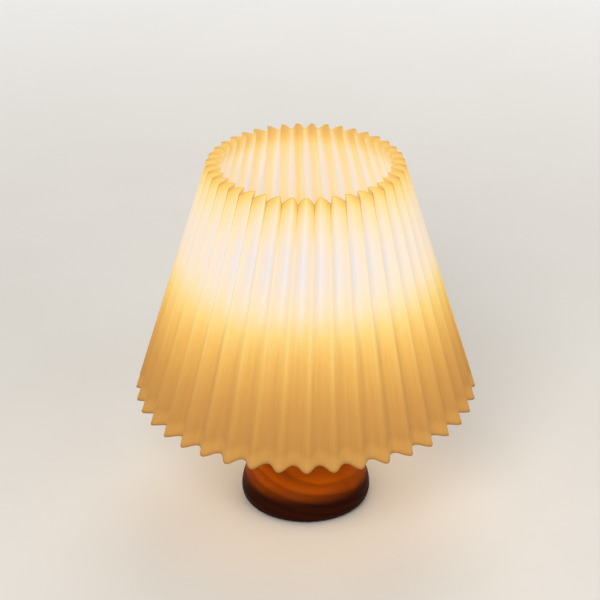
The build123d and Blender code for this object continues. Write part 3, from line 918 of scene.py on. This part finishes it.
@dataclass
class PleatedShade:
    """A strip of stiff paper, folded into pleats and closed into a cone."""

    bottom: float = 110.0 * MM         # The lower rim's height.
    height: float = 216.7 * MM         # From there to an outer fold of the upper rim.
    low_tip: float = 150.0 * MM        # The outer folds' radius at the lower rim,
    low_valley: float = 139.7 * MM     # and the inner folds' radius.
    high_tip: float = 84.6 * MM        # The same at the upper rim.
    high_valley: float = 72.7 * MM
    valley_lift: float = 2.4 * MM      # How far the lower rim rises at an inner fold,
    high_lift: float = 0.8 * MM        # and how far the upper rim does.
    high_arch: float = 1.0 * MM        # How far that rim arches up between two folds.
    front_angle: float = 0.7 * DEGREE  # The first outer fold's angle at the lower rim, from the front.
    lean: float = 4.6 * DEGREE         # How far a fold turns on its way up.
    radius_play: float = 0.25 * MM     # How far a fold may be off its radius,
    angle_play: float = 0.16 * DEGREE  # and off its angle.
    pleats: int = 40                   # How many outer folds there are.
    low_round: float = 0.82            # How much of a panel's half is bent at a fold of the lower rim.
    high_tip_round: float = 0.55       # The same at an outer fold of the upper rim,
    high_valley_round: float = 0.50    # and at an inner one.
    thickness: float = 0.5 * MM        # The paper's thickness.
    wall_rows: int = 26                # How many rows of points each side of the paper has,
    lip_rows: int = 3                  # and how many more each cut edge has.
    steps_per_pleat: int = 20          # How many columns of faces a pleat has.
    crowding: float = 1.3              # The power that moves the columns towards the folds.
    arch_start: float = 0.8            # The share of the height where the arch starts to grow.
    lap_start: float = 0.04            # Where the glued lap starts, in pleats from the middle of the back.
    lap_width: float = 0.42            # How wide it is, in pleats.
    lap_trim: float = 0.012            # How much shorter it is at each rim, as a share of the height.
    lap_depth: float = 1.1             # How deep it lies, in thicknesses of the paper,
    lap_thickness: float = 0.8         # and how thick it is.
    lap_shadow: float = 0.10           # How much of the light it takes.
    lap_columns: int = 12
    joined: float = 0.005 * MM         # How close two points are that are made one.

    #: How many of the fields above each level of the tree takes as its inputs.
    CORNER_INPUTS, SURFACE_INPUTS, SHEET_INPUTS = 14, 17, 20
    #: The seeds of the lower rim's folds. The upper rim has the next ones.
    RADIUS_SEED, ANGLE_SEED = 11, 31

    def build(self, worn: Worn) -> list[bpy.types.Object]:
        """Builds the paper and the glued lap at its back.

        Args:
            worn: Their slot and material.

        Returns:
            The two pieces.
        """
        low_corner, high_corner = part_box("shade_paper")
        self.bottom = low_corner.z
        self.height = high_corner.z - low_corner.z - self.high_lift
        sheet = self.sheet_tree(self.surface_group(self.corner_group()))
        sizes = {**self.inputs(self.CORNER_INPUTS), **self.sharp_radii()}
        paper = grown("pleated_shade", "shade", worn, sheet, {
            **sizes, "First Turn": 0.0, "Turns": float(self.pleats),
            "Columns": self.pleats * self.steps_per_pleat}, replaced="shade_paper")
        lap = grown("shade_seam_lap", "shade", worn, sheet, {
            **sizes, "First Turn": self.pleats / 2 + self.lap_start, "Turns": self.lap_width,
            "Columns": self.lap_columns, "Depth": self.thickness * self.lap_depth,
            "Thickness": self.thickness * self.lap_thickness, "Low Trim": self.lap_trim,
            "High Trim": self.lap_trim, "Ends Closed": 1.0})
        return [paper, lap]

    def inputs(self, count: int) -> dict[str, float | int]:
        """Gives the first sizes as inputs of a tree."""
        return dict(list(sizes_of(self).items())[:count])

    def sharp_radii(self) -> dict[str, float]:
        """Works out the radii of the folds before rounding, so that the rounded ones reach the named radii.

        Returns:
            The four radii by the tree's input names.
        """
        low = (self.low_tip - self.low_valley) / (1 - self.low_round / 2)
        high = (self.high_tip - self.high_valley) / (1 - (self.high_tip_round + self.high_valley_round) / 4)
        return {
            "Low Tip": self.low_tip + low * self.low_round / 4,
            "Low Valley": self.low_valley - low * self.low_round / 4,
            "High Tip": self.high_tip + high * self.high_tip_round / 4,
            "High Valley": self.high_valley - high * self.high_valley_round / 4,
        }

    def corner_group(self) -> Group:
        """Builds the group that places one fold, counted in half pleats, at a share of the height.

        Returns:
            The group, whose Kind is 0 for an outer fold and 1 for an inner one.
        """
        inputs = {"Step": 0.0, "Rise": 0.0, **self.inputs(self.CORNER_INPUTS)}
        group = Group("fold_corner", Kind.SHAPE, inputs, ("Point", "Kind"))
        given = group.given
        step, pleats = given["Step"], given["Pleats"]
        kind = step % 2.0
        wrapped = step % (pleats * 2.0)
        angle = step * (math.pi / pleats) + given["Front Angle"]
        ends = []
        for end, (tip, valley, lift, floor, turn) in enumerate((
                ("Low Tip", "Low Valley", "Valley Lift", 0.0, 0.0),
                ("High Tip", "High Valley", "High Lift", given["Height"], given["Lean"]))):
            bend = group.chance(-1.0, 1.0, self.RADIUS_SEED + end, ID=wrapped) * given["Radius Play"]
            swing = group.chance(-1.0, 1.0, self.ANGLE_SEED + end, ID=wrapped) * given["Angle Play"]
            radius = bend + kind.mix(given[tip], given[valley])
            around = swing + angle + turn
            x, y = radius * around.math("SINE"), radius * (around.math("COSINE") * -1.0)
            ends.append(group.xyz(x, y, kind * given[lift] + given["Bottom"] + floor))
        return group.finish(Point=given["Rise"].mix(*ends), Kind=kind)

    def surface_group(self, corner: Group) -> Group:
        """Builds the group that gives a point of the folded surface.

        Args:
            corner: The group that places one fold.

        Returns:
            The group, which takes a place counted in pleats and a share of the height.
        """
        inputs = {"Turn": 0.0, "Rise": 0.0, **self.inputs(self.SURFACE_INPUTS)}
        group = Group("folded_surface", Kind.SHAPE, inputs, ("Point", "Fold"))
        given = group.given
        rise = given["Rise"]
        sizes = {name: given[name] for name in self.inputs(self.CORNER_INPUTS)}
        doubled = given["Turn"] * 2.0
        step = doubled.math("ROUND")
        side = (doubled - step) * 2.0
        reach = side.math("ABSOLUTE") ** self.crowding
        across = reach * side.math("SIGN")
        here, before, after = (
            group.call(corner, {"Step": step + offset, "Rise": rise, **sizes}) for offset in (0.0, -1.0, 1.0))

        # A parabola rounds the fold within its bent part, and the panel is straight beyond it.
        bent = here["Kind"].mix(given["High Tip Round"], given["High Valley Round"])
        bent = rise.mix(given["Low Round"], bent)
        curve = (reach * reach + bent * bent) / (bent * 2.0)
        drop = reach.math("LESS_THAN", bent).mix(reach, curve)
        middle = here["Point"] * 0.5 + (before["Point"] + after["Point"]) * 0.25
        along = (after["Point"] - before["Point"]) * 0.25
        point = middle + along * across + (here["Point"] - middle) * (1.0 - drop)

        half = reach * 0.5
        arch = (half * math.pi).math("SINE") ** 2.0 * rise.ease(self.arch_start, 1.0) * given["High Arch"]
        return group.finish(Point=point + group.xyz(z=arch), Fold=here["Kind"].mix(half, 1.0 - half))

    def sheet_tree(self, surface: Group) -> Group:
        """Builds the tree that wraps a grid round the folded paper, out, over the rim and back inside.

        Args:
            surface: The group that gives a point of the folded surface.

        Returns:
            The tree, which makes a closed wall with the attributes rise, fold, inset, around and layers.
        """
        group = Group("pleated_sheet", Kind.SHAPE, {
            **self.inputs(self.SHEET_INPUTS), "First Turn": 0.0, "Turns": float(self.pleats), "Depth": 0.0,
            "Low Trim": 0.0, "High Trim": 0.0, "Ends Closed": 0.0,
            "Columns": self.pleats * self.steps_per_pleat, "Material": None}, ("Mesh",))
        given = group.given
        wall, lip, thickness = given["Wall Rows"], given["Lip Rows"], given["Thickness"]

        # The grid's rows go up the outside, over the upper edge, down the inside and under the lower edge.
        half_loop = wall + lip
        rows = half_loop * 2.0
        mesh = group.get("GeometryNodeMeshGrid", {
            "Size X": 1.0, "Size Y": 1.0, "Vertices X": given["Columns"] + 1.0, "Vertices Y": rows + 1.0})
        x, y, _ = group.get("GeometryNodeInputPosition").parts()
        turn = (x + 0.5) * given["Turns"] + given["First Turn"]
        row = ((y + 0.5) * rows).math("ROUND") % rows
        inside = row.math("GREATER_THAN", half_loop - 0.5)
        own_row = row - inside * half_loop
        last = wall - 1.0
        climbed = own_row.math("MINIMUM", last) / last
        climbed = inside.mix(climbed, 1.0 - climbed)
        rise = climbed.mix(given["Low Trim"], 1.0 - given["High Trim"])

        # Each cut edge is half a circle through the paper's thickness.
        lip_turn = (own_row - last).math("MAXIMUM", 0.0) / (lip + 1.0) * math.pi
        crossed = lip_turn.math("COSINE") * -0.5 + 0.5
        inset = inside.mix(crossed, 1.0 - crossed)
        lift = lip_turn.math("SINE") * (thickness * 0.5) * (inside * -2.0 + 1.0)

        # Where the ends are closed, the last columns have no thickness.
        point, normal, fold = self.point_and_normal(group, surface, turn, rise)
        closed = x.math("ABSOLUTE").math("COMPARE", 0.5, 0.0001) * given["Ends Closed"]
        full = 1.0 - closed
        depth = inset * thickness * full + given["Depth"]
        place = point - normal * depth + group.xyz(z=lift * full)

        # The panel beside the seam has two layers.
        seam = self.pleats / 2
        lapped = turn.math("GREATER_THAN", seam) * turn.math("LESS_THAN", seam + 0.5)
        angle = turn * (math.tau / given["Pleats"])
        around = group.xyz(angle.math("COSINE"), angle.math("SINE"), rise)
        for name, value, kind, domain in (
                ("rise", rise, "FLOAT", "POINT"), ("fold", fold, "FLOAT", "POINT"),
                ("inset", closed.mix(inset, 1.0), "FLOAT", "POINT"),
                ("around", around, "FLOAT_VECTOR", "POINT"),
                ("layers", lapped * self.lap_shadow + 1.0, "FLOAT", "FACE")):
            values = {"Geometry": mesh, "Name": name, "Value": value}
            mesh = group.get("GeometryNodeStoreNamedAttribute", values, data_type=kind, domain=domain)
        mesh = group.moved(mesh, place)
        mesh = group.get("GeometryNodeMergeByDistance", {"Geometry": mesh, "Distance": self.joined})
        return group.finish_mesh(mesh)

    def point_and_normal(self, group: Group, surface: Group, turn: Wire, rise: Wire) -> tuple[Wire, ...]:
        """Adds a point of the folded surface, the outward normal there and its place between the folds.

        Args:
            group: The tree that the nodes go into, whose inputs have the surface's sizes.
            surface: The group that gives a point of the surface.
            turn: The place, counted in pleats.
            rise: The share of the height.

        Returns:
            The point, the normal and the fold value.
        """
        nudge = 0.004
        sizes = {name: group.given[name] for name in self.inputs(self.SURFACE_INPUTS)}

        def at(turn_shift: float, rise_shift: float) -> dict[str, Wire]:
            """Adds the surface a little to one side."""
            return group.call(surface, {"Turn": turn + turn_shift, "Rise": rise + rise_shift, **sizes})

        here = at(0.0, 0.0)
        across = at(nudge, 0.0)["Point"] - at(-nudge, 0.0)["Point"]
        upward = at(0.0, nudge)["Point"] - at(0.0, -nudge)["Point"]
        return here["Point"], across.vector("CROSS_PRODUCT", upward).vector("NORMALIZE"), here["Fold"]


# ---------------------------------------------------------------- threads, welds and felt


class Side(Enum):
    """The side of a round wall that a thread stands on."""

    OUTER = 1.0
    INNER = -1.0


@dataclass(frozen=True)
class Thread:
    """A rolled screw thread on a round wall."""

    name: str
    node: str                # The CAD node that carries it.
    body: str                # The body that it rides on.
    finish: str
    radius: float            # The wall's radius.
    start: float             # Its lower end, above the node's lowest point.
    pitch: float             # The rise of one turn.
    turns: float
    ridge: float             # The ridge's own radius,
    proud: float             # and how far it stands out of the wall.
    side: Side = Side.OUTER

    def build(self, tree: Group, worn: Worn) -> bpy.types.Object:
        """Winds the ridge.

        Args:
            tree: The thread's geometry nodes.
            worn: Its slot and material.

        Returns:
            The finished piece.
        """
        return grown(self.name, self.body, worn, tree, {
            "Radius": self.radius - (self.ridge - self.proud) * self.side.value,
            "Bottom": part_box(self.node)[0].z + self.start, "Pitch": self.pitch, "Turns": self.turns,
            "Ridge": self.ridge})


THREADS = (
    Thread("bulb_cap_thread", "bulb_cap", "bulb", "nickel_cap", 13.1 * MM, 5.0 * MM, 3.6 * MM, 3.9,
           1.3 * MM, 0.24 * MM),
    Thread("screw_shell_thread", "screw_shell", "base", "contact_brass", 13.55 * MM, 4.0 * MM, 3.6 * MM, 4.0,
           0.6 * MM, 0.10 * MM, Side.INNER),
    Thread("holder_sleeve_thread", "holder_sleeve", "base", "black_plastic", 19.4 * MM, 30.6 * MM, 1.5 * MM,
           1.9, 0.5 * MM, 0.22 * MM),
    Thread("tube_end_thread", "threaded_tube", "base", "zinc_steel", 5.0 * MM, 0.3 * MM, 1.0 * MM, 1.2,
           0.3 * MM, 0.12 * MM),
)


def thread_tree() -> Group:
    """Builds the tree that winds a ridge whose ends run out into the wall.

    Returns:
        The tree, whose Run Out is in turns.
    """
    group = Group("screw_thread", Kind.SHAPE, {
        "Radius": 13.0 * MM, "Bottom": 0.0, "Pitch": 3.6 * MM, "Turns": 4.0, "Ridge": 1.0 * MM,
        "Run Out": 0.4, "End Size": 0.3, "Steps": 72, "Sides": 12, "Material": None}, ("Mesh",))
    given = group.given
    turns, radius = given["Turns"], given["Radius"]
    line = group.get("GeometryNodeCurveSpiral", {
        "Resolution": given["Steps"], "Rotations": turns, "Start Radius": radius, "End Radius": radius,
        "Height": turns * given["Pitch"], "Reverse": True})
    share = group.get("GeometryNodeSplineParameter", output="Factor")
    near = share.math("MINIMUM", 1.0 - share) * turns
    line = group.moved(line, group.xyz(z=given["Bottom"]), "Offset")
    line = group.get("GeometryNodeSetCurveNormal", {"Curve": line}, mode="Z_UP")
    thinned = near.ease(0.0, given["Run Out"], given["End Size"], 1.0)
    return group.finish_mesh(group.swept(line, given["Sides"], given["Ridge"], thinned))


@dataclass
class Welds:
    """The welding beads that hold the wire arms to the hub plate and to the wire ring."""

    arms: int = 3
    first_angle: float = 90.0 * DEGREE  # The first arm's angle from +X.
    stride: float = 0.62 * MM           # The distance between two ripples of a bead.
    ripple: float = 0.8 * MM            # A ripple's radius.
    wire: float = 1.5 * MM              # The wire's radius.
    hub_start: float = 29.6 * MM        # Where the beads on the plate start, from the axis.
    hub_steps: int = 9                  # How many ripples each of them has,
    ring_steps: int = 3                 # and each bead at the ring.
    hub_lift: float = 0.1 * MM          # How far above the wire's underside the beads on the plate are.

    #: The range of a ripple's size, and how flat it is.
    SIZES, FLATNESS = (0.85, 1.12), 0.75
    #: How far a bead is from its arm's middle at the plate and at the ring, and how far it is inside the
    #: ring, in radii of the wire.
    PLATE_OFFSET, RING_OFFSET, RING_INSET = 1.15, 0.85, 1.9

    def build(self, worn: Worn) -> list[bpy.types.Object]:
        """Lays the beads on the plate and at the ring.

        Args:
            worn: Their slot and material.

        Returns:
            The two pieces.
        """
        tree = self.bead_tree()
        low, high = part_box("carrier_frame")
        ring_start = high.x - self.wire - self.RING_INSET * self.wire
        rows = (
            ("hub_weld_beads", self.hub_start, self.hub_steps, low.z + self.hub_lift, self.PLATE_OFFSET),
            ("ring_weld_beads", ring_start, self.ring_steps, (low.z + high.z) / 2, self.RING_OFFSET),
        )
        return [
            grown(name, "carrier", worn, tree, {
                "Start": start, "Steps": steps, "Height": height, "Offset": offset * self.wire})
            for name, start, steps, height, offset in rows]

    def bead_tree(self) -> Group:
        """Builds the tree that sets a row of ripples along both sides of each arm.

        Returns:
            The tree.
        """
        group = Group("weld_beads", Kind.SHAPE, {
            **sizes_of(self, "arms", "first_angle", "stride", "ripple"), "Steps": self.hub_steps,
            "Start": self.hub_start, "Offset": self.wire, "Height": 0.0, "Seed": 5,
            "Material": None}, ("Mesh",))
        given = group.given
        steps = given["Steps"]
        pair = steps * 2.0
        index = group.get("GeometryNodeInputIndex")
        within = index % pair
        right = within.math("GREATER_THAN", steps - 0.5) * 2.0 - 1.0
        radius = within % steps * given["Stride"] + given["Start"]
        angle = (index / pair).math("FLOOR") * (math.tau / given["Arms"]) + given["First Angle"]
        place = group.xyz(radius, right * given["Offset"], given["Height"]).turned(angle)
        points = group.get("GeometryNodeMeshLine", {"Count": pair * given["Arms"]})
        drop = group.get("GeometryNodeMeshUVSphere", {"Segments": 14, "Rings": 8, "Radius": given["Ripple"]})
        size = group.chance(*self.SIZES, given["Seed"], ID=index)
        return group.finish_mesh(group.get("GeometryNodeInstanceOnPoints", {
            "Points": group.moved(points, place), "Instance": drop, "Rotation": group.xyz(z=angle),
            "Scale": group.xyz(1.0, 1.0, self.FLATNESS) * size}))


@dataclass
class FeltEdge:
    """The loose fibres that stand out of the felt pad's cut edge."""

    fibres: int = 1400
    length: float = 1.6 * MM  # The longest fibre.
    width: float = 0.04 * MM  # A fibre's radius.
    curl: float = 0.5 * MM    # How far its end turns away.
    root: float = 0.2 * MM    # How deep in the pad it starts.
    border: float = 0.3 * MM  # How far from the pad's faces.
    clear: float = 0.02 * MM  # How far the fibres stay above the table.

    #: The ranges of how far a fibre turns to a side, and of its size.
    ASIDE, SIZES = (-0.9, 0.9), (0.35, 1.0)
    #: The share of its length where it bends, its steps and its sides.
    BENT_AT, STEPS, SIDES = 0.6, 4, 3

    def build(self, worn: Worn) -> bpy.types.Object:
        """Sets the fibres round the pad.

        Args:
            worn: Their slot and material.

        Returns:
            The finished piece.
        """
        low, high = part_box("foot_pad")
        return grown("felt_edge_fibres", "base", worn, self.fibre_tree(), {
            "Radius": high.x, "Bottom": low.z + self.border, "Top": high.z - self.border})

    def fibre_tree(self) -> Group:
        """Builds the tree that sets short bent fibres at random places round the edge.

        Returns:
            The tree.
        """
        group = Group("felt_fibres", Kind.SHAPE, {
            **sizes_of(self, "fibres", "length", "width", "curl", "root", "clear"), "Radius": 50.0 * MM,
            "Bottom": 0.0, "Top": 2.0 * MM, "Seed": 3, "Material": None}, ("Mesh",))
        given = group.given
        length = given["Length"]
        heights, half_turn = (given["Bottom"], given["Top"]), (-math.pi, math.pi)
        ranges = ((0.0, math.tau), heights, half_turn, self.ASIDE, self.SIZES)
        angle, height, roll, aside, size = (
            group.chance(low, high, given["Seed"] + float(step)) for step, (low, high) in enumerate(ranges))
        place = group.xyz(given["Radius"] - given["Root"], 0.0, height).turned(angle)
        points = group.moved(group.get("GeometryNodeMeshLine", {"Count": given["Fibres"]}), place)
        line = group.get("GeometryNodeCurveQuadraticBezier", {
            "Resolution": self.STEPS, "Start": (0.0, 0.0, 0.0), "Middle": group.xyz(length * self.BENT_AT),
            "End": group.xyz(length, given["Curl"])})
        mesh = group.get("GeometryNodeInstanceOnPoints", {
            "Points": points, "Instance": group.swept(line, self.SIDES, given["Width"]),
            "Rotation": group.xyz(roll, 0.0, angle + aside), "Scale": size})
        mesh = group.get("GeometryNodeRealizeInstances", {"Geometry": mesh})
        x, y, z = group.get("GeometryNodeInputPosition").parts()
        return group.finish_mesh(group.moved(mesh, group.xyz(x, y, z.math("MAXIMUM", given["Clear"]))))


# ---------------------------------------------------------------- the studio


@dataclass
class Studio:
    """The pale floor, the soft lights and the camera."""

    focal_pixels: float = 2458.6      # The lens's focal length in pixels of the photograph's frame,
    frame_pixels: float = 600.0       # and the width of that frame.
    sensor: float = 36.0              # The sensor's width in millimetres.
    camera_place: Place = (13.64 * MM, -1901.2 * MM, 1171.0 * MM)
    pitch: float = 27.156 * DEGREE    # How far the camera looks down,
    yaw: float = -0.56 * DEGREE       # how far to the right,
    roll: float = -0.088 * DEGREE     # and how far it is turned about its line of sight.
    view: Span = (0.01, 60.0)         # The nearest and the farthest that it sees.
    floor_radius: float = 9.0
    floor_sides: int = 96
    floor_fade: Span = (0.5, 2.2)     # Where the floor starts to fade to white, and where it is white.
    floor_waves: float = 6.0          # The waves of its mottle in a metre.
    floor_roughness: float = 0.85
    sky_light: float = 0.34           # How strongly the sky lights the lamp.
    aim: Place = (0.0, 0.0, 0.16)     # What the lights are turned to.

    #: The floor's darker and its lighter tone.
    FLOOR_TONES = (shown(236, 231, 222), shown(243, 239, 232))
    #: Each soft light's name, place, size and power.
    LIGHTS = (
        ("key", (-0.5, -2.2, 1.8), 1.4, 42.0),
        ("fill", (1.5, -1.6, 1.3), 1.6, 10.0),
        ("back", (0.3, 1.7, 1.7), 1.4, 15.0),
    )

    def build(self) -> None:
        """Builds the camera, the floor, the sky and the lights."""
        self.camera()
        self.floor()
        self.sky()
        for light in self.LIGHTS:
            self.lamp(*light)

    def camera(self) -> None:
        """Places the camera that stands where the photographer stood."""
        data = bpy.data.cameras.new("camera")
        data.sensor_width = self.sensor
        data.lens = self.focal_pixels / self.frame_pixels * self.sensor
        data.clip_start, data.clip_end = self.view
        eye = bpy.data.objects.new("camera", data)
        bpy.context.scene.collection.objects.link(eye)
        place = Matrix.Translation(self.camera_place)
        for angle, axis in ((-self.yaw, "Z"), (math.pi / 2 - self.pitch, "X"), (self.roll, "Z")):
            place = place @ Matrix.Rotation(angle, 4, axis)
        eye.matrix_world = place
        bpy.context.scene.camera = eye

    def floor(self) -> None:
        """Builds the pale floor, which fades to white far from the lamp."""
        mesh = bpy.data.meshes.new("studio_floor")
        sides = range(self.floor_sides)
        start = Vector((self.floor_radius, 0.0, 0.0))
        rim = [Matrix.Rotation(math.tau * side / self.floor_sides, 3, "Z") @ start for side in sides]
        mesh.from_pydata(rim, [], [tuple(sides)])
        ground = bpy.data.objects.new("studio_floor", mesh)
        bpy.context.scene.collection.objects.link(ground)
        mesh.materials.append(self.floor_material())

    def floor_material(self) -> bpy.types.Material:
        """Builds a soft matt white with a faint mottle.

        Returns:
            The material.
        """
        skin = Skin("studio_floor")
        place = skin.point()
        away = skin.get("ShaderNodeVectorMath", {0: place}, "Value", operation="LENGTH")
        fade = away.ease(*self.floor_fade) * self.seen(skin)
        plain = skin.get("ShaderNodeEmission", {"Color": WHITE})
        both = skin.get("ShaderNodeMixShader", {0: fade, 1: skin.surface, 2: plain})
        skin.feed(skin.output.inputs["Surface"], both)
        tone = place.noise(self.floor_waves, detail=3.0).mix(*self.FLOOR_TONES)
        return skin.wear({"Base Color": tone, "Roughness": self.floor_roughness})

    @staticmethod
    def seen(tree: Tree) -> Wire:
        """Adds a value that is 1 for what the camera, a reflection or a refraction sees."""
        rays = tree.wires(tree.place("ShaderNodeLightPath"))
        return rays["Is Camera Ray"].math("MAXIMUM", rays["Is Glossy Ray"]).math(
            "MAXIMUM", rays["Is Transmission Ray"])

    def sky(self) -> None:
        """Builds an even white background that lights the lamp softly."""
        world = bpy.data.worlds.new("studio")
        bpy.context.scene.world = world
        world.use_nodes = True
        world.node_tree.nodes.clear()
        tree = Tree(world.node_tree)
        strength = self.seen(tree).mix(self.sky_light, 1.0)
        sky = tree.get("ShaderNodeBackground", {"Color": WHITE, "Strength": strength})
        tree.place("ShaderNodeOutputWorld", {"Surface": sky})

    def lamp(self, name: str, place: Place, size: float, watts: float) -> None:
        """Places one soft square light.

        Args:
            name: The light's name.
            place: Where it hangs.
            size: The length of its sides.
            watts: Its power.
        """
        data = bpy.data.lights.new(name, "AREA")
        data.size = size
        data.energy = watts
        light = bpy.data.objects.new(name, data)
        bpy.context.scene.collection.objects.link(light)
        turned = (Vector(self.aim) - Vector(place)).to_track_quat("-Z", "Y").to_matrix()
        light.matrix_world = Matrix.Translation(place) @ turned.to_4x4()


# ---------------------------------------------------------------- the whole lamp


def dress(worn: dict[str, Worn]) -> None:
    """Gives every CAD node the finish that the record's slot names.

    Args:
        worn: The slots and materials by the finish's name.
    """
    for part in frame["record"]["subparts"]:
        name, finish = part["node"], part["material_slot"]
        slots = frame["nodes"][name].data.materials
        slots.clear()
        slots.append(worn[finish][1])
        log.info("%s wears %s", name, finish)


def main() -> None:
    """Builds the lamp's looks in order and reports each piece."""
    logging.basicConfig(level=logging.INFO, format="%(name)s: %(message)s")
    bpy.context.scene.view_settings.view_transform = "Standard"
    surfaces = Surfaces()
    worn = {finish.name: (finish.name, finish.material(surfaces)) for finish in FINISHES}
    Studio().build()
    dress(worn)
    pieces = PleatedShade().build(worn["pleated_paper"])
    winding = thread_tree()
    pieces += [thread.build(winding, worn[thread.finish]) for thread in THREADS]
    pieces += Welds().build(worn["white_painted_steel"])
    pieces.append(FeltEdge().build(worn["felt"]))
    for piece in pieces:
        log.info("%s: %d faces", piece.name, len(piece.data.polygons))


if __name__ == "__main__":
    main()
